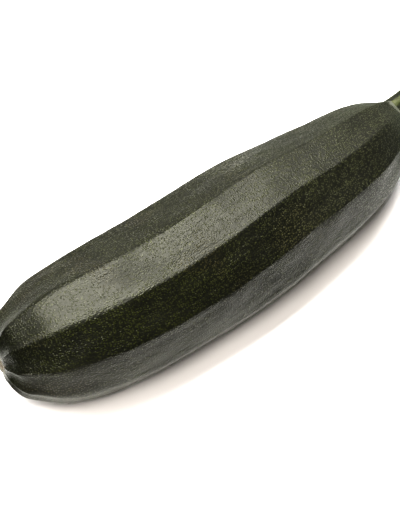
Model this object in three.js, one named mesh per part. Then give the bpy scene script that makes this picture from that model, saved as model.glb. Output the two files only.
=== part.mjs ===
// A zucchini as picked: one long ribbed fruit and its cut stem, lying on its side.
// Millimetres, +Z up. The stem points towards +X and the belly of the bend towards -Y.
import * as THREE from "three";

// Outline of the fruit over its ribs, from the blossom scar to the stem seat: [along, radius]
const SKIN_OUTLINE = [
  [1.2, 0], [0.9, 2.4], [0, 4.4], [0.8, 10.3], [3.5, 15.7], [9, 19.7], [18, 24.7], [32, 27.5],
  [50, 28.8], [70, 29.1], [90, 29.3], [110, 28.8], [130, 26.9], [150, 24.5], [166, 22.3],
  [180, 18.9], [190, 15.2], [196, 12.4], [199.4, 10.5], [199.9, 9.5],
];
const SKIN_STEPS = 2; // rings between two outline points
const SEAT_DEPTH = 2.4; // the hollow that holds the foot of the stem
const SEAT_RADIUS = 8.6;
const FRUIT_LENGTH = 200;

// The middle line of the fruit at six even steps of its length: [sideways, height]
const MIDDLE_LINE = [[0, 25.3], [-9.1, 27.5], [-11.9, 27.4], [-11.8, 26.5], [-9.5, 23], [0, 17.8]];

// The ribs round the fruit, in degrees from the one that faces the light, and how they wind
const RIB_ANGLES = [0, 35, 72, 102, 132, 168, 206, 247, 288, 326.5];
const RIB_WINDING = [29.5, 33, 26.5, 26.9]; // turn of all the ribs at four even steps of the length
const RIB_SHARPNESS = 70; // a higher power rounds the ribs less
const RIB_STEPS = 8; // sides of the mesh from one rib to the next
const RIB_CROWDING = 0.6; // draws those sides towards the ribs, which bend most
const FULL_TURN = 360;

// Flutes: near both ends the flat faces between the ribs sink a little
const BLOSSOM_FLUTE = 0.9; // depth
const BLOSSOM_FLUTE_REACH = 15; // how far from the blossom end it fades away
const SCAR_RADIUS = 4.4;
const SHOULDER_VALLEY = 1.1; // five valleys on the shoulder, between the feet of the stem's ridges
const SHOULDER_REACH = 14;

// The stem: five ridges that run on into every second rib of the fruit
const STEM_OUTLINE = [
  [0, 7.9], [1.5, 7.9], [4, 7.4], [9, 6.4], [16, 5.6], [23, 5.5], [26.6, 5.7], [27.4, 5.2],
]; // [along, radius in the valleys]
const STEM_STEPS = 2;
const STEM_SIDES = 60;
const STEM_PITH_DEPTH = 0.8; // the cut face is a little hollow in its middle
const STEM_RIDGE = 1.7; // how far the ridges stand out of the valleys
const STEM_RIDGE_WIDTH = 17; // degrees
const STEM_FOOT_RADIUS = 8.2; // no point of the foot stands out further, so it fits its seat
const STEM_FOOT_HEIGHT = 6; // above that the ridges stand out fully
const STEM_CUT_SLOPE = 0.12; // the knife went through a little askew
const STEM_BEND = [[0, 0, 0], [14, 2, 0.2], [31, 3, 4]]; // where the stem leads, from its seat
const GAP = 0.3; // between the foot of the stem and the seat

const REST_HEIGHT = 0.25; // the underside is pressed flat up to here

const { clamp, degToRad, lerp, radToDeg, smoothstep } = THREE.MathUtils;

// A smooth curve through evenly spaced stations, as a function of the share of the length
function stations(points) {
  return new THREE.CatmullRomCurve3(points, false, "catmullrom", 0.5);
}

const middleLine = stations(MIDDLE_LINE.map(
  ([side, height], i) => new THREE.Vector3((i / (MIDDLE_LINE.length - 1)) * FRUIT_LENGTH, side, height),
));
const winding = stations(RIB_WINDING.map((turn) => new THREE.Vector3(turn, 0, 0)));

// The point and the axes of the cross-section at one place along a curve
function crossSection(curve, share) {
  const centre = curve.getPoint(share);
  const forward = curve.getTangent(share);
  const left = new THREE.Vector3(0, 0, 1).cross(forward).normalize();
  const up = new THREE.Vector3().crossVectors(forward, left);
  return { centre, forward, left, up };
}

// Angles run from straight up, over the -Y side and down
function onSection(section, radius, angle) {
  return section.centre.clone()
    .addScaledVector(section.up, radius * Math.cos(angle))
    .addScaledVector(section.left, -radius * Math.sin(angle));
}

// The flat faces between the ribs, as the direction each one faces and its distance from the middle
const faces = RIB_ANGLES.map((angle, i) => {
  const next = i + 1 < RIB_ANGLES.length ? RIB_ANGLES[i + 1] : RIB_ANGLES[0] + FULL_TURN;
  return {
    facing: degToRad((angle + next) / 2),
    distance: Math.cos(degToRad((next - angle) / 2)),
  };
});

// The share of the rib radius that the skin has in one direction: ten flat faces, blended at the ribs
function ribbedRadius(angle) {
  const sum = faces.reduce((total, face) => {
    const reach = Math.max(0, Math.cos(angle - face.facing)) / face.distance;
    return total + reach ** RIB_SHARPNESS;
  }, 0);
  return sum ** (-1 / RIB_SHARPNESS);
}

// The angle at a place counted in ribs: 0 is the first rib, 0.5 the middle of the face after it
function angleAt(ribPlace) {
  const rib = Math.min(Math.floor(ribPlace), RIB_ANGLES.length - 1);
  const within = ribPlace - rib;
  const eased = within - (RIB_CROWDING * Math.sin(2 * Math.PI * within)) / (2 * Math.PI);
  const from = RIB_ANGLES[rib];
  const to = rib + 1 < RIB_ANGLES.length ? RIB_ANGLES[rib + 1] : RIB_ANGLES[0] + FULL_TURN;
  return degToRad(lerp(from, to, eased));
}

// How deep the skin sinks at a place along the fruit and a place among the ribs
function sinkAt(along, radius, ribPlace) {
  const middleOfFace = Math.sin(Math.PI * ribPlace) ** 2;
  const nearBlossom = Math.exp(-((along / BLOSSOM_FLUTE_REACH) ** 2));
  const outsideScar = smoothstep(radius, SCAR_RADIUS, 2.5 * SCAR_RADIUS);
  const flute = BLOSSOM_FLUTE * middleOfFace * nearBlossom * outsideScar;
  const betweenRidges = Math.cos((Math.PI * ribPlace) / 2) ** 2;
  const nearStem = smoothstep(along, FRUIT_LENGTH - SHOULDER_REACH, FRUIT_LENGTH);
  return flute + SHOULDER_VALLEY * betweenRidges * nearStem;
}

// Moves every point of a turned shape: place(along, radius, turn, normal) gives its final position
function reshape(geometry, place) {
  const position = geometry.getAttribute("position");
  const normal = geometry.getAttribute("normal");
  for (let i = 0; i < position.count; i += 1) {
    const radius = Math.hypot(position.getX(i), position.getZ(i));
    const turn = Math.atan2(position.getX(i), position.getZ(i));
    const outward = {
      along: normal.getY(i),
      radius: normal.getX(i) * Math.sin(turn) + normal.getZ(i) * Math.cos(turn),
    };
    const fullTurn = turn < 0 ? turn + 2 * Math.PI : turn;
    const point = place(position.getY(i), radius, fullTurn, outward);
    position.setXYZ(i, point.x, point.y, point.z);
  }
  geometry.deleteAttribute("normal");
  geometry.deleteAttribute("uv");
  return geometry;
}

function outlinePoints(outline, steps) {
  const curve = new THREE.SplineCurve(outline.map(([along, radius]) => new THREE.Vector2(radius, along)));
  return curve.getPoints(steps * (outline.length - 1));
}

function fruitGeometry() {
  const profile = outlinePoints(SKIN_OUTLINE, SKIN_STEPS);
  const seatFloor = FRUIT_LENGTH - SEAT_DEPTH;
  profile.push(new THREE.Vector2(SEAT_RADIUS, seatFloor), new THREE.Vector2(0, seatFloor));
  const turned = new THREE.LatheGeometry(profile, RIB_ANGLES.length * RIB_STEPS);
  return reshape(turned, (along, radius, turn, outward) => {
    const ribPlace = (turn / (2 * Math.PI)) * RIB_ANGLES.length;
    const isSeat = along >= seatFloor && radius <= SEAT_RADIUS;
    const sink = isSeat ? 0 : sinkAt(along, radius, ribPlace);
    const share = clamp((along - sink * outward.along) / FRUIT_LENGTH, 0, 1);
    const angle = angleAt(ribPlace);
    const roundness = isSeat ? 1 : ribbedRadius(angle);
    const wound = angle + degToRad(winding.getPoint(share).x);
    const skinRadius = (radius - sink * Math.max(0, outward.radius)) * roundness;
    const point = onSection(crossSection(middleLine, share), skinRadius, wound);
    point.z = Math.max(point.z, REST_HEIGHT);
    return point;
  });
}

// The stem stands on the seat and leads off along its own bend
function stemCurve() {
  const seat = crossSection(middleLine, (FRUIT_LENGTH - SEAT_DEPTH) / FRUIT_LENGTH);
  const foot = seat.centre.clone().addScaledVector(seat.forward, GAP);
  return new THREE.QuadraticBezierCurve3(
    ...STEM_BEND.map(([x, y, z]) => foot.clone().add(new THREE.Vector3(x, y, z))),
  );
}

function stemRidge(angle) {
  return RIB_ANGLES.filter((_, i) => i % 2 === 1).reduce((height, ribAngle) => {
    const away = radToDeg(angle) - ribAngle - winding.getPoint(1).x;
    const shortest = THREE.MathUtils.euclideanModulo(away + FULL_TURN / 2, FULL_TURN) - FULL_TURN / 2;
    return height + Math.exp(-((shortest / STEM_RIDGE_WIDTH) ** 2));
  }, 0) * STEM_RIDGE;
}

function stemGeometry() {
  const profile = outlinePoints(STEM_OUTLINE, STEM_STEPS);
  const [length] = STEM_OUTLINE.at(-1);
  profile.unshift(new THREE.Vector2(0, 0));
  profile.push(new THREE.Vector2(0, length - STEM_PITH_DEPTH));
  const turned = new THREE.LatheGeometry(profile, STEM_SIDES);
  const curve = stemCurve();
  const seat = crossSection(middleLine, 1);
  return reshape(turned, (along, radius, turn) => {
    const share = clamp(along / length, 0, 1);
    const ridged = radius + stemRidge(turn) * smoothstep(radius, 0, STEM_OUTLINE.at(-1)[1]);
    const foot = 1 - smoothstep(along, 0, STEM_FOOT_HEIGHT);
    const fitted = lerp(ridged, Math.min(ridged, STEM_FOOT_RADIUS), foot);
    const section = crossSection(curve, share);
    const point = onSection(section, fitted, turn);
    const onSeat = onSection({ ...seat, centre: section.centre }, fitted, turn);
    const cut = STEM_CUT_SLOPE * fitted * Math.cos(turn) * smoothstep(share, 0.7, 1);
    return point.lerp(onSeat, foot).addScaledVector(section.forward, cut);
  });
}

const skin = new THREE.MeshStandardMaterial({ color: 0x2b3320, roughness: 0.42, metalness: 0 });
const stalk = new THREE.MeshStandardMaterial({ color: 0x6d7844, roughness: 0.6, metalness: 0 });

const fruit = new THREE.Mesh(fruitGeometry(), skin);
fruit.name = "fruit";
const stem = new THREE.Mesh(stemGeometry(), stalk);
stem.name = "stem";

// The origin is on the surface the zucchini lies on, under the middle of its bounding box
const zucchini = new THREE.Group();
zucchini.add(fruit, stem);
const box = new THREE.Box3().setFromObject(zucchini);
const middle = box.getCenter(new THREE.Vector3());
zucchini.position.set(-middle.x, -middle.y, -box.min.z);

export default zucchini;
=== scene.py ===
# %% [markdown]
# # A zucchini
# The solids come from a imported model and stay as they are. This lesson builds what is seen: the
# skin of the fruit with its ribs, folds and dents, the stem with its ridges, and the finish of
# each. Everything is in metres in the model's own frame: +X runs along the fruit towards the
# stem, +Z is up, and the fruit lies on the plane Z = 0. Shapes are worked out in millimetres,
# as a grower would measure them, and made metres when a mesh is done.

# %% Load the solids
import math

import bmesh
import bpy
import numpy as np
from mathutils import Matrix, Vector, noise


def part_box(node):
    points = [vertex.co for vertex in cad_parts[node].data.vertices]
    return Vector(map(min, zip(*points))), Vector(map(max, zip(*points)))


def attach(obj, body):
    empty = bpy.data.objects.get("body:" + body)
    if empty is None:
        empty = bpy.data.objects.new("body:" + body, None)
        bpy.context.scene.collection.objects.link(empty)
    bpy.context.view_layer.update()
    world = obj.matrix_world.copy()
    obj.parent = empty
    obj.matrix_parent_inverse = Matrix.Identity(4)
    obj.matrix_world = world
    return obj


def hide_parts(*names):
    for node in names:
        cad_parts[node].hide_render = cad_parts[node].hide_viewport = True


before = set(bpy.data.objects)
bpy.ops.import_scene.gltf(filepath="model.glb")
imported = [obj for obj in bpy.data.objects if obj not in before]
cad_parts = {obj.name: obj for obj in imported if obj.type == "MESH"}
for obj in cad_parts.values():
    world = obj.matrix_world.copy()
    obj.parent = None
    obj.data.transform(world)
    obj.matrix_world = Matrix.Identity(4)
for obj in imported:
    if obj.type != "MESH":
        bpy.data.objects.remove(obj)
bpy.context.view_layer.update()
MM = 0.001

# %% [markdown]
# ## Smooth lines through a few points
# An outline or a middle line is given by a few points. A Catmull-Rom curve passes through all of
# them, so the points can be read off the fruit with a ruler. It needs a point before the first
# and one after the last. Doubling the end point makes the curve slow down there, and mirroring
# the neighbour carries the line on straight.

# %% A curve through points
def smooth_line(points, shares, doubled_ends=False):
    """Points of the curve at shares of its way, from 0 to 1. The given points are evenly spaced."""
    points = np.asarray(points, float)
    before, after = 2 * points[0] - points[1], 2 * points[-1] - points[-2]
    if doubled_ends:
        before, after = points[0], points[-1]
    known = np.vstack([before, points, after])
    place = np.clip(shares, 0, 1) * (len(points) - 1)
    first = np.minimum(place.astype(int), len(points) - 2)
    t = (place - first)[:, None]
    a, b, c, d = (known[first + i] for i in range(4))
    return (
        b
        + t * (c - a) / 2
        + t**2 * (2 * a - 5 * b + 4 * c - d) / 2
        + t**3 * (3 * b - a - 3 * c + d) / 2
    )


def smoothstep(value, low, high):
    """0 below low, 1 above high, and an even rise between them."""
    t = np.clip((value - low) / (high - low), 0, 1)
    return t * t * (3 - 2 * t)


# %% [markdown]
# ## The shape of the fruit
# A zucchini is a turned shape with ten flat faces. Its outline, from the blossom scar to the seat
# of the stem, is measured over the ribs, where two faces meet. The middle line bends, and the
# ribs wind a little round it. These are the same values that the solids have, so the skin lies
# on them, with finer ribs than the solids need.

# %% Measurements of the fruit
SKIN_OUTLINE = [
    (1.2, 0), (0.9, 2.4), (0, 4.4), (0.8, 10.3), (3.5, 15.7), (9, 19.7), (18, 24.7), (32, 27.5),
    (50, 28.8), (70, 29.1), (90, 29.3), (110, 28.8), (130, 26.9), (150, 24.5), (166, 22.3),
    (180, 18.9), (190, 15.2), (196, 12.4), (199.4, 10.5), (199.9, 9.5),
]  # (along, radius)
SEAT_LIP = [(199.7, 8.7), (198.9, 8.2), (197.6, 8.0), (197.6, 0)]  # hugs the foot of the stem
FRUIT_LENGTH = 200
MIDDLE_LINE = [
    (0, 0, 25.3), (40, -9.1, 27.5), (80, -11.9, 27.4),
    (120, -11.8, 26.5), (160, -9.5, 23), (200, 0, 17.8),
]
RIB_ANGLES = [0, 35, 72, 102, 132, 168, 206, 247, 288, 326.5]
RIB_WINDING = [29.5, 33, 26.5, 26.9]  # degrees, at four even steps of the length
RIB_SHARPNESS, BLOSSOM_RIB_SHARPNESS = 170, 45  # rounder ribs at the blossom end
SOFT_RIBS_END, SHARP_RIBS_START = 8, 70
RIB_CROWDING = 0.6  # draws the sides of the mesh towards the ribs
SIDES_PER_RIB = 28
RING_SPACING = 0.68
BLOSSOM_FLUTE, BLOSSOM_FLUTE_REACH = 0.9, 15
SCAR_RADIUS = 4.4
SHOULDER_VALLEY, SHOULDER_REACH = 1.1, 14
SEAT_START, SEAT_RADIUS = 197, 8.6  # the seat of the stem lies past and within these
REST_HEIGHT = 0.25  # the underside is pressed flat up to here


def evenly_spaced(outline, spacing):
    """Points on an outline, about one spacing apart as measured along it."""
    run = np.concatenate([[0], np.cumsum(np.linalg.norm(np.diff(outline, axis=0), axis=1))])
    rings = np.linspace(0, run[-1], round(run[-1] / spacing))
    return np.column_stack([np.interp(rings, run, outline[:, i]) for i in (0, 1)])


outline = smooth_line(SKIN_OUTLINE, np.linspace(0, 1, 2000), doubled_ends=True)
profile = evenly_spaced(np.vstack([outline, SEAT_LIP]), RING_SPACING)
print(f"profile: {len(profile)} rings, {RING_SPACING} mm apart")

# %% [markdown]
# ## Turning a profile
# A lathe shape in Blender is a line of vertices that `bmesh.ops.spin` carries round an axis. With
# `use_merge` the last copy joins the first. The vertices on the axis come out once for each step,
# so they are merged into one pole, and the normals are worked out again after that.

# %% Spin a profile round the X axis
def turned_body(profile, sides):
    """A closed mesh, turned from (along, radius) points. Its vertices are still millimetres."""
    shape = bmesh.new()
    corners = [shape.verts.new((along, 0, radius)) for along, radius in profile]
    line = [shape.edges.new(pair) for pair in zip(corners, corners[1:])]
    bmesh.ops.spin(
        shape, geom=corners + line, cent=(0, 0, 0), axis=(1, 0, 0), dvec=(0, 0, 0),
        angle=2 * math.pi, steps=sides, use_merge=True,
    )
    bmesh.ops.remove_doubles(shape, verts=shape.verts, dist=1e-4)
    bmesh.ops.recalc_face_normals(shape, faces=shape.faces)
    mesh = bpy.data.meshes.new("turned")
    shape.to_mesh(mesh)
    shape.free()
    return mesh


def read(mesh, what):
    """One vector for each vertex, such as its place (co) or its normal."""
    values = np.empty(len(mesh.vertices) * 3)
    mesh.vertices.foreach_get(what, values)
    return values.reshape(-1, 3)


fruit_mesh = turned_body(profile, len(RIB_ANGLES) * SIDES_PER_RIB)
print(f"turned fruit: {len(fruit_mesh.vertices)} vertices, {len(fruit_mesh.polygons)} faces")

# %% [markdown]
# ## Ten flat faces
# In cross-section each face is a straight line at its own distance from the middle. The nearest
# line wins, and adding high powers of the distances rounds the corner where two of them meet.
# The turned vertices are spread so that most of them stand near the ribs, where the skin bends.

# %% Where the turned vertices lie among the ribs
RIB_EDGES = np.radians(RIB_ANGLES + [360])


def angle_at(rib_place):
    """The angle at a place counted in ribs: 0 is the first rib, 0.5 the middle of the next face."""
    rib = np.minimum(rib_place.astype(int), len(RIB_ANGLES) - 1)
    within = rib_place - rib
    eased = within - RIB_CROWDING * np.sin(2 * np.pi * within) / (2 * np.pi)
    return RIB_EDGES[rib] * (1 - eased) + RIB_EDGES[rib + 1] * eased


def ribbed_radius(angle, along):
    """The share of the rib radius that the skin has at an angle, at a place along the fruit."""
    facing = (RIB_EDGES[1:] + RIB_EDGES[:-1]) / 2
    distance = np.cos((RIB_EDGES[1:] - RIB_EDGES[:-1]) / 2)
    sharpness = BLOSSOM_RIB_SHARPNESS + (RIB_SHARPNESS - BLOSSOM_RIB_SHARPNESS) * smoothstep(
        along, SOFT_RIBS_END, SHARP_RIBS_START
    )
    total = sum(
        (np.maximum(0, np.cos(angle - f)) / d) ** sharpness for f, d in zip(facing, distance)
    )
    return total ** (-1 / sharpness)


turned, outward = read(fruit_mesh, "co"), read(fruit_mesh, "normal")
along, radius = turned[:, 0], np.hypot(turned[:, 1], turned[:, 2])
turn = np.arctan2(-turned[:, 1], turned[:, 2]) % (2 * np.pi)
rib_place = turn / (2 * np.pi) * len(RIB_ANGLES)
angle = angle_at(np.minimum(rib_place, len(RIB_ANGLES) - 1e-9))
outward_along = outward[:, 0]
outward_radius = -outward[:, 1] * np.sin(turn) + outward[:, 2] * np.cos(turn)
in_seat = (along > SEAT_START) & (radius < SEAT_RADIUS)
rib_share = ribbed_radius(angle, along)
print("a face's middle has", rib_share.min().round(3), "of the rib radius")

# %% [markdown]
# ## Flutes, valleys and folds
# Near both ends the flat faces sink between the ribs. At the blossom end the young fruit was
# gathered to a point, and some of its ribs still overlap their neighbour as a fold with a sharp
# lip. Each fold is a step beside one rib: deep at the lip, shallow towards the middle of the face.

# %% How far the skin sinks
FOLDS = [
    (1, -1, 0.9, 7), (2, -1, 0.25, 6), (4, 1, 0.7, 8),
    (6, 1, 0.9, 9), (8, -1, 0.6, 7), (9, 1, 0.5, 7),
]  # (rib, the side that sinks: -1 before it or 1 after it, depth, reach)
FOLD_WIDTH, LIP_WIDTH = 0.34, 0.035  # in ribs


def folds_at(along, rib_place):
    """How deep the folds press the skin in, beside their ribs."""
    sink = np.zeros_like(along)
    for rib, side, depth, reach in FOLDS:
        away = (rib_place - rib + len(RIB_ANGLES) / 2) % len(RIB_ANGLES) - len(RIB_ANGLES) / 2
        beside = away * side
        step = smoothstep(beside, 0, LIP_WIDTH) * np.exp(-((beside / FOLD_WIDTH) ** 2))
        sink += depth * step * np.exp(-((along / reach) ** 2))
    return sink


middle_of_face = np.sin(np.pi * rib_place) ** 2
between_ridges = np.cos(np.pi * rib_place / 2) ** 2
outside_scar = smoothstep(radius, SCAR_RADIUS, 2.5 * SCAR_RADIUS)
near_blossom = np.exp(-((along / BLOSSOM_FLUTE_REACH) ** 2))
near_stem = smoothstep(along, FRUIT_LENGTH - SHOULDER_REACH, FRUIT_LENGTH)
sink = (
    BLOSSOM_FLUTE * middle_of_face * near_blossom * outside_scar
    + SHOULDER_VALLEY * between_ridges * near_stem
    + folds_at(along, rib_place) * smoothstep(radius, 0.7 * SCAR_RADIUS, 1.6 * SCAR_RADIUS)
)
sink[in_seat] = 0
print(f"the skin sinks up to {sink.max():.2f} mm")

# %% [markdown]
# ## Dents and wrinkles
# The light on a face shows that it isn't quite flat: it has soft dents the size of a fingertip
# and narrow wrinkles along its length. Blender's own noise gives both. For wrinkles the place is
# squeezed along the fruit before the noise is read, which draws its lumps out lengthwise.
# The noise is read on the straight fruit, so it has no seam and bends with it.

# %% Relief of the skin
DENTS = [((0.07, 0.16, 0.16), 0.26), ((0.2, 0.33, 0.33), 0.085)]  # (lumps per mm, height)
WRINKLES = [((0.022, 0.4, 0.4), 0.055), ((0.05, 0.9, 0.9), 0.022)]
SCAR_LUMPS = ((0.9, 0.9, 0.9), 0.28)
WRINKLE_BAR = 29  # wrinkles are read on a round bar of this radius, so they run straight
NO_WRINKLES, FULL_WRINKLES = 3, 14  # radius at which they begin, and are at full depth
BLOSSOM_END = 20  # the scar lies before here


def relief(places, layers):
    """Noise heights at places, summed over layers of (lumps per mm, height)."""
    height = np.zeros(len(places))
    for scale, depth in layers:
        squeezed = places * scale
        height += depth * np.array([noise.noise(Vector(p)) for p in squeezed])
    return height


round_place = np.column_stack([along, WRINKLE_BAR * np.sin(angle), WRINKLE_BAR * np.cos(angle)])
straight_place = np.column_stack([along, radius * np.sin(angle), radius * np.cos(angle)])
wrinkle_share = smoothstep(radius, NO_WRINKLES, FULL_WRINKLES)
raised = relief(straight_place, DENTS) + relief(round_place, WRINKLES) * wrinkle_share
on_scar = 1 - smoothstep(radius, 0.75 * SCAR_RADIUS, 1.15 * SCAR_RADIUS)
on_scar[along > BLOSSOM_END] = 0
raised += on_scar * relief(straight_place, [SCAR_LUMPS])
raised[in_seat] = 0
print(f"relief from {raised.min():.2f} to {raised.max():.2f} mm")

# %% [markdown]
# ## Bending the fruit
# A cross-section stands square to the middle line at every place along it. Each vertex keeps its
# distance and angle in its section, while the section is carried to its place on the bent line.
# The straight place is kept in the mesh as an attribute, so the materials can lay their pattern
# on the straight fruit and have it follow the bend and the winding.

# %% Carry the sections along the middle line
def sections(points, shares):
    """Middle, forward, left and up of the cross-sections of a line through points."""
    step = 1e-4
    ahead = smooth_line(points, np.minimum(shares + step, 1))
    behind = smooth_line(points, np.maximum(shares - step, 0))
    forward = (ahead - behind) / np.linalg.norm(ahead - behind, axis=1, keepdims=True)
    left = np.cross([0, 0, 1], forward)
    left /= np.linalg.norm(left, axis=1, keepdims=True)
    return smooth_line(points, shares), forward, left, np.cross(forward, left)


def on_section(middle, left, up, radius, angle):
    """Angles run from straight up over the -Y side."""
    upwards, sideways = radius * np.cos(angle), radius * np.sin(angle)
    return middle + up * upwards[:, None] - left * sideways[:, None]


depth = sink - raised
share = np.clip((along - depth * outward_along) / FRUIT_LENGTH, 0, 1)
wound = angle + np.radians(smooth_line([(w,) for w in RIB_WINDING], share)[:, 0])
skin_radius = (radius - depth * np.maximum(0, outward_radius)) * np.where(in_seat, 1, rib_share)
middle, _, left, up = sections(MIDDLE_LINE, share)
bent = on_section(middle, left, up, skin_radius, wound)
bent[:, 2] = np.maximum(bent[:, 2], REST_HEIGHT)

low, high = (np.array(corner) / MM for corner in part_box("fruit"))
shift = (low + high) / 2 - (bent.min(0) + bent.max(0)) / 2
shift[2] = -REST_HEIGHT
print("the bent fruit is", (bent.max(0) - bent.min(0)).round(2), "mm")
print("its solid is", (high - low).round(2), "mm")

# %% [markdown]
# The bent places go back into the turned mesh, in metres, and the object stays at the origin. The
# skin rides on the one body there is, stands in for the solid of the fruit, and is smooth shaded.
# Its ribs still look crisp, because the rings have most of their vertices there.

# %% Make it the fruit's skin
def make_piece(name, mesh, places, straight):
    """A mesh in metres with its straight place, in millimetres, as an attribute."""
    mesh.vertices.foreach_set("co", (places * MM).ravel())
    mesh.name = name
    kept = mesh.attributes.new("straight_place", "FLOAT_VECTOR", "POINT")
    kept.data.foreach_set("vector", straight.astype(np.float32).ravel())
    mesh.polygons.foreach_set("use_smooth", np.ones(len(mesh.polygons), bool))
    mesh.update()
    piece = bpy.data.objects.new(name, mesh)
    bpy.context.scene.collection.objects.link(piece)
    return piece


skin = make_piece("skin", fruit_mesh, bent + shift, straight_place)
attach(skin, "root")
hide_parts("fruit")
print("skin:", len(skin.data.vertices), "vertices")

# %% [markdown]
# ## The stem
# The stem is a second turned shape. Five ridges run up it, in line with every second rib of the
# fruit, and its foot stands in the seat as if the two had grown together. Fine grooves run
# between the ridges. The knife cut it a little askew, and the cut face has dried and sunk.

# %% Measurements of the stem
STEM_OUTLINE = [
    (0, 7.9), (1.5, 7.9), (4, 7.4), (9, 6.4), (16, 5.6), (23, 5.5), (26.6, 5.7), (27.4, 5.2),
]  # (along, radius)
STEM_BEND = [(0, 0, 0), (14, 2, 0.2), (31, 3, 4)]
STEM_RIDGE, STEM_RIDGE_WIDTH = 1.7, 17
STEM_FOOT_RADIUS, STEM_FOOT_HEIGHT = 8.2, 6
STEM_CUT_SLOPE = 0.12
STEM_PITH_DEPTH = 0.8
STEM_RIM = [(27.5, 4.9), (27.3, 4.4), (27, 3.6), (26.7, 2.4), (27.4 - STEM_PITH_DEPTH, 0)]
SEAT_DEPTH, GAP = 2.4, 0.3
STEM_SIDES, STEM_RING_SPACING = 240, 0.25

stem_outline = smooth_line(STEM_OUTLINE, np.linspace(0, 1, 400), doubled_ends=True)
stem_outline = np.vstack([[(0, 0)], stem_outline, STEM_RIM])
stem_profile = evenly_spaced(stem_outline, STEM_RING_SPACING)
stem_mesh = turned_body(stem_profile, STEM_SIDES)
print(f"turned stem: {len(stem_profile)} rings, {len(stem_mesh.vertices)} vertices")

# %% [markdown]
# A ridge is a bell curve over the angle round the stem, and the five are added up. Grooves are
# noise that is drawn out lengthwise, as the wrinkles of the skin are. The cut face has a noise of
# its own. The foot is held within its seat, so that no ridge cuts into the fruit.

# %% Ridges, grooves and the cut
STEM_SIDE_RADIUS = 5.2  # ridges and grooves are at full depth from here outwards
GROOVES = [((0.03, 0.8, 0.8), 0.22), ((0.08, 2.2, 2.2), 0.09)]
GROOVE_BAR = 6  # grooves are read on a round bar of this radius
NO_GROOVES, FULL_GROOVES = 1, 5  # how far up the stem they begin, and are at full depth
CUT_LUMPS = [((0.8, 0.8, 0.8), 0.3), ((2.5, 2.5, 2.5), 0.12)]
CUT_START, CUT_FULL, CUT_RADIUS, CUT_EDGE = 25.9, 26.6, 4.6, 5.3

stem_turned = read(stem_mesh, "co")
climb, stem_radius = stem_turned[:, 0], np.hypot(stem_turned[:, 1], stem_turned[:, 2])
stem_turn = np.arctan2(-stem_turned[:, 1], stem_turned[:, 2])
on_side = smoothstep(stem_radius, 0, STEM_SIDE_RADIUS)
ridge_angles = np.array(RIB_ANGLES[1::2]) + RIB_WINDING[-1]
from_ridge = (np.degrees(stem_turn)[:, None] - ridge_angles + 180) % 360 - 180
ridge = np.exp(-((from_ridge / STEM_RIDGE_WIDTH) ** 2)).sum(1)
sine, cosine = np.sin(stem_turn), np.cos(stem_turn)
stem_straight = np.column_stack([climb, stem_radius * sine, stem_radius * cosine])
stem_round = np.column_stack([climb, GROOVE_BAR * sine, GROOVE_BAR * cosine])
grooves = relief(stem_round, GROOVES) * on_side * smoothstep(climb, NO_GROOVES, FULL_GROOVES)
within_cut = 1 - smoothstep(stem_radius, CUT_RADIUS, CUT_EDGE)
on_cut = smoothstep(climb, CUT_START, CUT_FULL) * within_cut
cut_lumps = relief(stem_straight, CUT_LUMPS) * on_cut
ridged = stem_radius + (STEM_RIDGE * ridge + grooves) * on_side
foot = 1 - smoothstep(climb, 0, STEM_FOOT_HEIGHT)
fitted = ridged * (1 - foot) + np.minimum(ridged, STEM_FOOT_RADIUS) * foot
print(f"ridges up to {ridged.max():.1f} mm from the middle of the stem")

# %% [markdown]
# The stem's own line is a quadratic Bezier curve. Over the foot, its sections turn from the end
# of the fruit's middle line to the stem's, so the foot stands square in its seat.

# %% Bend the stem
seat_share = np.array([1 - SEAT_DEPTH / FRUIT_LENGTH])
seat_middle, seat_forward = sections(MIDDLE_LINE, seat_share)[:2]
end_left, end_up = sections(MIDDLE_LINE, np.array([1.0]))[2:]
bend = seat_middle + seat_forward * GAP + np.array(STEM_BEND)
t = np.clip(climb / STEM_OUTLINE[-1][0], 0, 1)[:, None]
stem_middle = bend[0] * (1 - t) ** 2 + 2 * bend[1] * t * (1 - t) + bend[2] * t**2
stem_forward = 2 * (1 - t) * (bend[1] - bend[0]) + 2 * t * (bend[2] - bend[1])
stem_forward /= np.linalg.norm(stem_forward, axis=1, keepdims=True)
stem_left = np.cross([0, 0, 1], stem_forward)
stem_left /= np.linalg.norm(stem_left, axis=1, keepdims=True)
stem_up = np.cross(stem_forward, stem_left)
own = on_section(stem_middle, stem_left, stem_up, fitted, stem_turn)
on_seat = on_section(stem_middle, end_left, end_up, fitted, stem_turn)
near_cut = smoothstep(t[:, 0], 0.7, 1)
askew = STEM_CUT_SLOPE * fitted * np.cos(stem_turn) * near_cut + cut_lumps
stem_places = own * (1 - foot)[:, None] + on_seat * foot[:, None] + stem_forward * askew[:, None]

stem = make_piece("stalk", stem_mesh, stem_places + shift, stem_straight)
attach(stem, "root")
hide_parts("stem")
_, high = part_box("stem")
print("the stem reaches to", (stem_places.max(0) + shift).round(2), "mm")
print("its solid reaches to", (np.array(high) / MM).round(2), "mm")

# %% [markdown]
# ## Painting with nodes
# A procedural material is a small network: some nodes read a place, some turn it into a pattern,
# and the Principled shader turns the patterns into a surface. A few helpers keep the networks
# readable. The first adds a node with its settings and its wires, and each of the others adds
# one kind of step under a plain name.

# %% Helpers for materials
def add(tree, kind, wires=None, **settings):
    """A new node. Wires are its sockets' values, or the outputs that they read."""
    node = tree.nodes.new("ShaderNode" + kind)
    for field, value in settings.items():
        setattr(node, field, value)
    for socket, value in (wires or {}).items():
        if isinstance(value, bpy.types.NodeSocket):
            tree.links.new(value, node.inputs[socket])
        else:
            node.inputs[socket].default_value = value
    return node


def mixed(tree, share, first, second):
    """A colour from first, at share 0, to second, at share 1."""
    return add(tree, "Mix", {0: share, 6: first, 7: second}, data_type="RGBA").outputs[2]


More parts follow.
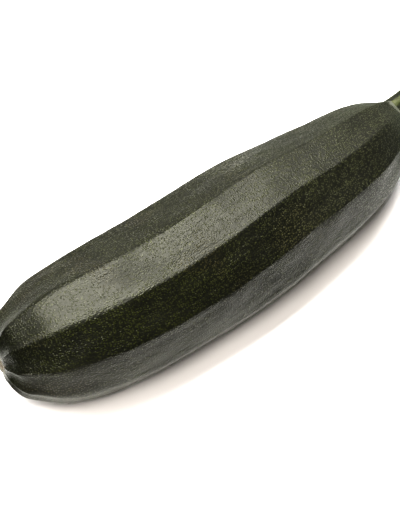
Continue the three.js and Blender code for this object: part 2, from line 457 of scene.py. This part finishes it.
def ranged(tree, value, low, high, to_low=0.0, to_high=1.0):
    """The value carried from one range to another, with soft ends."""
    wires = {"Value": value, "From Min": low, "From Max": high, "To Min": to_low, "To Max": to_high}
    return add(tree, "MapRange", wires, interpolation_type="SMOOTHSTEP").outputs[0]


def times(tree, *values):
    """The product of several values."""
    product = values[0]
    for value in values[1:]:
        product = add(tree, "Math", {0: product, 1: value}, operation="MULTIPLY").outputs[0]
    return product


def plus(tree, first, second):
    """The sum of two values."""
    return add(tree, "Math", {0: first, 1: second}, operation="ADD").outputs[0]


def lumps(tree, place, per_mm, detail=2.0, squeeze=1.0):
    """Noise from 0 to 1 with so many lumps per mm, drawn out lengthwise by a squeeze below 1."""
    drawn = add(tree, "Mapping", {"Vector": place, "Scale": (squeeze, 1, 1)}).outputs[0]
    return add(tree, "TexNoise", {"Vector": drawn, "Scale": per_mm, "Detail": detail}).outputs[0]


def bumped(tree, height, depth, strength=1.0, under=None):
    """The normal of a relief, so many mm deep, laid over the normal under it."""
    wires = {"Height": height, "Strength": strength, "Distance": depth * MM}
    if under is not None:
        wires["Normal"] = under
    return add(tree, "Bump", wires).outputs[0]


# %% [markdown]
# Both pieces keep their straight place in the mesh, in millimetres. From it come the two distances
# that most of their patterns need: how far along the piece a point is, and how far from its axis.

# %% A new finish and its distances
def new_finish(name):
    """An empty material: its tree, its Principled shader and the straight place of the mesh."""
    material = bpy.data.materials.new(name)
    material.use_nodes = True
    tree = material.node_tree
    place = add(tree, "Attribute", attribute_name="straight_place").outputs["Vector"]
    return material, tree, tree.nodes["Principled BSDF"], place


def distances(tree, place):
    """How far along its axis a place is, its place in the cross-section, and how far out it is."""
    axes = add(tree, "SeparateXYZ", {"Vector": place})
    across = add(tree, "Mapping", {"Vector": place, "Scale": (0, 1, 1)}).outputs[0]
    from_axis = add(tree, "VectorMath", {0: across}, operation="LENGTH").outputs["Value"]
    return axes.outputs[0], across, from_axis


# %% [markdown]
# ## The skin's finish
# The skin is almost black green. It isn't even: some patches, about as wide as a fingertip, are a
# little lighter, and thin streaks run along it. Noise gives both, and the streaks are a noise that
# is drawn out along the fruit.

# %% The green of the skin
DEEP_GREEN = (0.0018, 0.0021, 0.0007, 1)
LEAF_GREEN = (0.0040, 0.0046, 0.0014, 1)
PATCHES_PER_MM, PATCH_SQUEEZE = 0.09, 0.6
STREAKS_PER_MM, STREAK_SQUEEZE, STREAK_SHARE = 0.55, 0.07, 0.55
PATCH_NOISE, STREAK_NOISE = (0.4, 0.75), (0.5, 0.72)  # from none to full

skin_finish, tree, shader, place = new_finish("waxy dark green skin")
from_blossom, _, from_axis = distances(tree, place)
patches = lumps(tree, place, PATCHES_PER_MM, 3.0, PATCH_SQUEEZE)
streaks = ranged(tree, lumps(tree, place, STREAKS_PER_MM, 3.0, STREAK_SQUEEZE), *STREAK_NOISE)
green = mixed(tree, ranged(tree, patches, *PATCH_NOISE), DEEP_GREEN, LEAF_GREEN)
green = mixed(tree, times(tree, streaks, STREAK_SHARE), green, LEAF_GREEN)
print(f"patches about {1 / PATCHES_PER_MM:.0f} mm wide")

# %% [markdown]
# Thousands of pale flecks lie in the green, each less than a millimetre wide and a little longer
# than it is wide. A Voronoi texture scatters one point in each of its cells. The distance to that
# point draws a dot, and the cell's random colour makes some dots faint. There are dense fine
# flecks, and a few bold ones. The fine ones are russet in some areas, brighter towards the stem
# and fainter close to the blossom end.

# %% Flecks in the green
FLECK_GREEN = (0.026, 0.031, 0.005, 1)
FLECK_PALE = (0.035, 0.038, 0.011, 1)
FLECK_RUSSET = (0.046, 0.035, 0.014, 1)
FLECK_BRIGHT = (0.075, 0.080, 0.040, 1)
FLECK_BOLD = (0.064, 0.070, 0.020, 1)
FINE_PER_MM, FINE_SIZE = 1.4, 0.56  # cells per mm, and a dot's radius in cells
BOLD_PER_MM, BOLD_SIZE, BOLD_SHARE = 0.62, 0.3, 0.5
FINE_DRAW, BOLD_DRAW = (-1.1, 0.95), (0.5, 1.0)  # a cell's draw for no dot and for a full one
FLECK_SQUEEZE, FLECK_SCATTER = 0.85, 0.7
FAINT_ALONG, FAINT_SHARE = (-4, 14), 0.3  # mm from the blossom end, and what is left there
BRIGHT_ALONG, BRIGHT_SHARE = (50, 170), 0.8
RUSSET_PER_MM, RUSSET_SQUEEZE, RUSSET_NOISE, RUSSET_SHARE = 0.06, 0.7, (0.5, 0.68), 0.75


def flecks(tree, place, per_mm, size, draw):
    """Dots from 0 to 1, and a random value for each. Each cell draws how strong its dot is."""
    drawn = add(tree, "Mapping", {"Vector": place, "Scale": (FLECK_SQUEEZE, 1, 1)}).outputs[0]
    wires = {"Vector": drawn, "Scale": per_mm, "Randomness": FLECK_SCATTER}
    cells = add(tree, "TexVoronoi", wires)
    parts = add(tree, "SeparateColor", {"Color": cells.outputs["Color"]})
    dot = ranged(tree, cells.outputs["Distance"], size, 0.15 * size)
    strength = ranged(tree, parts.outputs[0], *draw)
    return times(tree, dot, strength), parts.outputs[1]


fine, fine_tint = flecks(tree, place, FINE_PER_MM, FINE_SIZE, FINE_DRAW)
bold, _ = flecks(tree, place, BOLD_PER_MM, BOLD_SIZE, BOLD_DRAW)
in_patches = ranged(tree, patches, 0.25, 0.7, 0.5, 1.0)
off_blossom = ranged(tree, from_blossom, *FAINT_ALONG, FAINT_SHARE, 1.0)
fine_share = times(tree, fine, times(tree, in_patches, off_blossom))
warm_areas = lumps(tree, place, RUSSET_PER_MM, 2.0, RUSSET_SQUEEZE)
russet = ranged(tree, warm_areas, *RUSSET_NOISE, 0.0, RUSSET_SHARE)
bright = ranged(tree, from_blossom, *BRIGHT_ALONG, 0.0, BRIGHT_SHARE)
fine_colour = mixed(tree, fine_tint, FLECK_GREEN, FLECK_PALE)
fine_colour = mixed(tree, russet, fine_colour, FLECK_RUSSET)
fine_colour = mixed(tree, bright, fine_colour, FLECK_BRIGHT)
green = mixed(tree, fine_share, green, fine_colour)
green = mixed(tree, times(tree, bold, BOLD_SHARE), green, FLECK_BOLD)
print(f"fine flecks about {1 / FINE_PER_MM:.1f} mm apart, bold ones {1 / BOLD_PER_MM:.1f} mm")

# %% [markdown]
# Two places on the skin are something else. The blossom has left a round scar of cork with dried
# skin round it, and the last few millimetres before the stem fade to a greyer, paler green. These
# are masks made from the two distances. A noise makes their edges wander.

# %% The scar and the rim at the stem
CORK = (0.20, 0.175, 0.14, 1)
CORK_DARK = (0.06, 0.048, 0.032, 1)
DRY_SKIN = (0.075, 0.062, 0.05, 1)
RIM_GREY = (0.055, 0.062, 0.040, 1)
RIM_PALE = (0.15, 0.155, 0.125, 1)
EDGE_LUMPS_PER_MM, EDGE_WANDER = 0.9, 0.9
CORK_LUMPS_PER_MM = 1.6
SCAR_EDGE, SCAR_ALONG = (SCAR_RADIUS + 0.5, SCAR_RADIUS - 0.4), (8, 6)  # mm, from none to full
DRY_EDGE, DRY_ALONG, DRY_SHARE = (7.5, 4.5), (12, 6), 0.35
RIM_EDGE, RIM_ALONG, RIM_SHARE = (12.2, 9.6), (190, 196), 0.85
RIM_LINE_EDGE, RIM_LINE_ALONG, RIM_LINE_SHARE = (12.8, 11.0), (194.5, 197.5), 0.8


def region(tree, from_axis, edge, along, ends):
    """A mask: 1 inside an edge round the axis and past a place along it, with soft borders."""
    return times(tree, ranged(tree, from_axis, *edge), ranged(tree, along, *ends))


edge = ranged(tree, lumps(tree, place, EDGE_LUMPS_PER_MM, 3.0), 0.2, 0.8, -EDGE_WANDER, EDGE_WANDER)
ragged_radius = plus(tree, from_axis, edge)
scar = region(tree, ragged_radius, SCAR_EDGE, from_blossom, SCAR_ALONG)
dry = region(tree, ragged_radius, DRY_EDGE, from_blossom, DRY_ALONG)
rim = region(tree, ragged_radius, RIM_EDGE, from_blossom, RIM_ALONG)
rim_line = region(tree, ragged_radius, RIM_LINE_EDGE, from_blossom, RIM_LINE_ALONG)
cork_lumps = ranged(tree, lumps(tree, place, CORK_LUMPS_PER_MM, 4.0), 0.35, 0.65)
cork = mixed(tree, cork_lumps, CORK_DARK, CORK)
colour = mixed(tree, times(tree, rim, RIM_SHARE), green, RIM_GREY)
colour = mixed(tree, times(tree, rim_line, RIM_LINE_SHARE), colour, RIM_PALE)
colour = mixed(tree, times(tree, dry, DRY_SHARE), colour, DRY_SKIN)
colour = mixed(tree, scar, colour, cork)
tree.links.new(colour, shader.inputs["Base Color"])
print(f"the scar is {2 * SCAR_RADIUS:.1f} mm across")

# %% [markdown]
# A thin wax makes the skin shine. It is rubbed in some places, a little smoother on the flecks,
# and duller towards the stem, while cork and rim have none. A low sheen stands for the bloom that
# pales the skin where it turns away. What is the same all over goes straight on the shader.

# %% Shine of the skin
SMOOTH_WAX, RUBBED_WAX, NO_WAX = 0.29, 0.42, 0.62  # roughness
OFF_FLECKS, ON_FLECKS, NEAR_STEM = 0.14, -0.06, 0.14  # roughness added
RUBBED_PER_MM, RUBBED_SQUEEZE, RUBBED_NOISE = 0.07, 0.5, (0.45, 0.7)
DULLER_ALONG = (130, 190)  # mm from the blossom end

rubbed_areas = lumps(tree, place, RUBBED_PER_MM, 4.0, RUBBED_SQUEEZE)
rubbed = ranged(tree, rubbed_areas, *RUBBED_NOISE, SMOOTH_WAX, RUBBED_WAX)
wax = plus(tree, rubbed, ranged(tree, fine, 0, 0.6, OFF_FLECKS, ON_FLECKS))
wax = plus(tree, wax, ranged(tree, from_blossom, *DULLER_ALONG, 0.0, NEAR_STEM))
dull = add(tree, "Math", {0: scar, 1: rim}, operation="MAXIMUM").outputs[0]
tree.links.new(ranged(tree, dull, 0, 1, wax, NO_WAX), shader.inputs["Roughness"])
shader.inputs["IOR"].default_value = 1.5
shader.inputs["Specular Tint"].default_value = (1.0, 0.995, 0.83, 1)
shader.inputs["Sheen Weight"].default_value = 0.08
shader.inputs["Sheen Roughness"].default_value = 0.35
shader.inputs["Sheen Tint"].default_value = (0.85, 1.0, 0.75, 1)
print(f"roughness from {SMOOTH_WAX + ON_FLECKS:.2f} to {NO_WAX}")

# %% [markdown]
# The shine is never a clean mirror, because the skin has a grain. Four bumps are laid over each
# other: each fleck is a tiny dome, fine pores lie between them, faint lines run along the fruit,
# and the cork is crumbly.

# %% Grain of the skin
DOME_HEIGHT, PORE_DEPTH, LINE_DEPTH, CRUMB_HEIGHT = 0.10, 0.15, 0.12, 0.4  # mm
PORES_PER_MM, LINES_PER_MM, CRUMBS_PER_MM = 1.35, 0.9, 2.4

normal = bumped(tree, fine, DOME_HEIGHT)
normal = bumped(tree, lumps(tree, place, PORES_PER_MM, 3.0, 0.8), PORE_DEPTH, under=normal)
normal = bumped(tree, lumps(tree, place, LINES_PER_MM, 2.0, 0.09), LINE_DEPTH, under=normal)
crumbs = times(tree, lumps(tree, place, CRUMBS_PER_MM, 4.0), scar)
normal = bumped(tree, crumbs, CRUMB_HEIGHT, 0.8, normal)
tree.links.new(normal, shader.inputs["Normal"])
skin.data.materials.append(skin_finish)
print("skin finish:", len(tree.nodes), "nodes")

# %% [markdown]
# ## The stem's finish
# The stem is a drier olive green. Its ridges carry a painted highlight, paler than the grooves
# between them, which carry painted shade, and thin light and dark lines run up it. How far a vertex
# stands out on a ridge is kept in the mesh as an attribute, since the painted highlight and shade
# follow it.

# %% The green of the stem
STALK_GREEN = (0.042, 0.050, 0.014, 1)
STALK_DARK_AND_SHADE = (0.010, 0.012, 0.005, 1)
STALK_PALE_AND_HIGHLIGHT = (0.095, 0.102, 0.052, 1)
STALK_LINES_PER_MM, STALK_LINE_SQUEEZE = 1.6, 0.08
RIDGE_HIGHLIGHT_SHARE, LINE_SHARE = 0.7, 0.6

on_ridge = stem.data.attributes.new("on_ridge", "FLOAT", "POINT")
on_ridge.data.foreach_set("value", ridge.astype(np.float32))

stem_finish, tree, shader, place = new_finish("olive green stalk")
up_stem, across, from_axis = distances(tree, place)
height = add(tree, "Attribute", attribute_name="on_ridge").outputs["Fac"]
lines = lumps(tree, place, STALK_LINES_PER_MM, 3.0, STALK_LINE_SQUEEZE)
# Painted shade in the grooves and a painted highlight on the ridge tops, both following on_ridge.
olive = mixed(tree, ranged(tree, height, 0.25, 0.8), STALK_DARK_AND_SHADE, STALK_GREEN)
olive = mixed(tree, ranged(tree, height, 0.75, 1.0, 0.0, RIDGE_HIGHLIGHT_SHARE), olive, STALK_PALE_AND_HIGHLIGHT)
olive = mixed(tree, ranged(tree, lines, 0.52, 0.75, 0.0, LINE_SHARE), olive, STALK_PALE_AND_HIGHLIGHT)
olive = mixed(tree, ranged(tree, lines, 0.48, 0.3, 0.0, LINE_SHARE), olive, STALK_DARK_AND_SHADE)
print(f"lines of the stem about {1 / STALK_LINES_PER_MM:.1f} mm apart")

# %% [markdown]
# The cut face is pale flesh that has browned in places, with a ring of darker vessels. A Voronoi
# texture on the cross-section draws them, so they are round dots on the cut. The rest of the stem
# is matt, with fibres and fine hairs in its bump.

# %% The cut face and the grain of the stem
CUT_FLESH = (0.22, 0.23, 0.10, 1)
CUT_DRY = (0.12, 0.085, 0.04, 1)
VESSELS_PER_MM, DRY_LUMPS_PER_MM, HAIRS_PER_MM = 0.9, 0.8, 3.0
DRY_FLESH_SHARE, VESSEL_SHARE = 0.8, 0.8
RING_INNER, RING_OUTER = (2.6, 3.4), (5.0, 4.2)  # mm from the axis, from no vessels to all
FACE_ALONG, FACE_EDGE = (26.0, 26.5), (5.3, 4.9)  # mm, from olive skin to the cut face
STALK_ROUGHNESS = (0.56, 0.74)
FIBRE_DEPTH, HAIR_HEIGHT = 0.2, 0.12  # mm

vessels = add(tree, "TexVoronoi", {"Vector": across, "Scale": VESSELS_PER_MM}).outputs["Distance"]
ring = times(tree, ranged(tree, from_axis, *RING_INNER), ranged(tree, from_axis, *RING_OUTER))
dried = ranged(tree, lumps(tree, place, DRY_LUMPS_PER_MM, 4.0), 0.4, 0.7, 0.0, DRY_FLESH_SHARE)
flesh = mixed(tree, dried, CUT_FLESH, CUT_DRY)
vessel_dots = times(tree, ranged(tree, vessels, 0.32, 0.2), ring, VESSEL_SHARE)
flesh = mixed(tree, vessel_dots, flesh, CUT_DRY)
cut = region(tree, from_axis, FACE_EDGE, up_stem, FACE_ALONG)
tree.links.new(mixed(tree, cut, olive, flesh), shader.inputs["Base Color"])
tree.links.new(ranged(tree, lines, 0.3, 0.7, *STALK_ROUGHNESS), shader.inputs["Roughness"])
shader.inputs["Specular IOR Level"].default_value = 0.3
fibres = bumped(tree, lines, FIBRE_DEPTH, 0.6)
hairs = bumped(tree, lumps(tree, place, HAIRS_PER_MM, 3.0), HAIR_HEIGHT, 0.4, fibres)
tree.links.new(hairs, shader.inputs["Normal"])
stem.data.materials.append(stem_finish)
print("stem finish:", len(tree.nodes), "nodes")

# %% [markdown]
# ## Floor, light and camera
# The fruit lies on a pale floor that is lit until it comes out white. A glossy skin shows what
# stands round it, so each light is placed where one of the flat faces mirrors it. The overhead
# softbox is what the bright upper face shows. A low card behind the fruit gives the face beyond it
# a sheen. The face towards the camera mirrors only the dim room, and stays dark.
# The floor is two sheets. The lower faces mirror the card under the fruit, and the wide floor is
# kept out of reflections, as if black cloth lay round the card.

# %% Floor
FLOOR_WHITE = (0.80, 0.80, 0.80, 1)
CARD_SIZE, CARD_TURN, CARD_MIDDLE = (0.236, 0.38), 3, (-0.017, 0.136, 0)
FLOOR_SIZE, FLOOR_MIDDLE = (6, 6), (0, 0, -0.0005)


def flat_sheet(name, size, turn, middle, finish):
    """A level sheet, turned by some degrees, with its middle at a place."""
    shape = bmesh.new()
    bmesh.ops.create_grid(shape, x_segments=1, y_segments=1, size=0.5)
    bmesh.ops.scale(shape, verts=shape.verts, vec=(*size, 1))
    turned = Matrix.Rotation(math.radians(turn), 3, "Z")
    bmesh.ops.rotate(shape, verts=shape.verts, cent=(0, 0, 0), matrix=turned)
    bmesh.ops.translate(shape, verts=shape.verts, vec=middle)
    mesh = bpy.data.meshes.new(name)
    shape.to_mesh(mesh)
    shape.free()
    mesh.materials.append(finish)
    sheet = bpy.data.objects.new(name, mesh)
    bpy.context.scene.collection.objects.link(sheet)
    return sheet


white_card = bpy.data.materials.new("white card")
white_card.use_nodes = True
tree = white_card.node_tree
shader = tree.nodes["Principled BSDF"]
where = add(tree, "TexCoord").outputs["Object"]
tooth = add(tree, "TexNoise", {"Vector": where, "Scale": 900.0, "Detail": 2.0}).outputs[0]
shader.inputs["Base Color"].default_value = FLOOR_WHITE
tree.links.new(ranged(tree, tooth, 0.3, 0.7, 0.8, 0.9), shader.inputs["Roughness"])
shader.inputs["Specular IOR Level"].default_value = 0.2

card = flat_sheet("card", CARD_SIZE, CARD_TURN, CARD_MIDDLE, white_card)
floor = flat_sheet("floor", FLOOR_SIZE, 0, FLOOR_MIDDLE, white_card)
floor.visible_glossy = False  # as if black cloth lay on it
print("sheets on the stage:", card.name, "and", floor.name)

# %% [markdown]
# A rectangular area light is the usual model of a softbox: the larger it is, the softer its edge
# in the skin and in the shadow. The front lamp only fills the shadow, with a slightly pinker
# light. It would show as a hot spot in the dark face, so it is hidden from glossy rays. The
# camera doesn't see the lamps either, so other views show none.

# %% Light
NEUTRAL, PINKISH, STRAW = (1.0, 0.99, 0.99), (1.0, 0.93, 0.87), (1.0, 0.98, 0.85)
ROOM_LIGHT = (0.12, 0.115, 0.095, 1)
CONTRAST = 0.8  # a display gamma below 1 deepens the dark tones


def soft_light(name, place, turn, size, power, colour):
    """A rectangular light that looks straight down, turned about Z, or that looks at the fruit."""
    light = bpy.data.lights.new(name, "AREA")
    light.shape = "RECTANGLE"
    light.size, light.size_y = size
    light.energy = power
    light.color = colour
    lamp = bpy.data.objects.new(name, light)
    lamp.location = place
    if turn is None:
        lamp.rotation_euler = (-Vector(place)).to_track_quat("-Z", "Y").to_euler()
    else:
        lamp.rotation_euler = (0, 0, math.radians(turn))
    lamp.visible_camera = False
    bpy.context.scene.collection.objects.link(lamp)
    print(f"{name}: {power} W over {size[0]} x {size[1]} m")
    return lamp


soft_light("overhead softbox", (-0.06, 0.125, 0.9), 3, (1.66, 0.42), 38, NEUTRAL)
front_lamp = soft_light("front lamp", (-0.55, -0.41, 0.9), 31, (0.45, 0.32), 18.5, PINKISH)
front_lamp.visible_glossy = False
soft_light("back card", (0.27, 0.86, 0.14), None, (1.36, 0.20), 1.85, STRAW)

room = bpy.data.worlds.new("dark room")
room.use_nodes = True
room.node_tree.nodes["Background"].inputs["Color"].default_value = ROOM_LIGHT
bpy.context.scene.world = room
bpy.context.scene.view_settings.view_transform = "Standard"
bpy.context.scene.view_settings.gamma = CONTRAST

# %% [markdown]
# The camera stands a metre away with a long lens, so the fruit has little perspective, as in a
# product photo. It looks down steeply, more on the blossom end than on the stem, and the fruit
# runs out of the frame at both ends.

# %% Camera
AIM = Vector((-0.02295, 0.00263, 0.01975))
AZIMUTH, ELEVATION = math.radians(-40.53), math.radians(50)
DISTANCE = 1.0
LENS = 177.38
towards_camera = Vector((
    math.sin(AZIMUTH) * math.cos(ELEVATION),
    -math.cos(AZIMUTH) * math.cos(ELEVATION),
    math.sin(ELEVATION),
))
camera = bpy.data.objects.new("camera", bpy.data.cameras.new("camera"))
camera.data.lens = LENS
camera.location = AIM + towards_camera * DISTANCE
camera.rotation_euler = (-towards_camera).to_track_quat("-Z", "Y").to_euler()
bpy.context.scene.collection.objects.link(camera)
bpy.context.scene.camera = camera
print("camera at", camera.location)
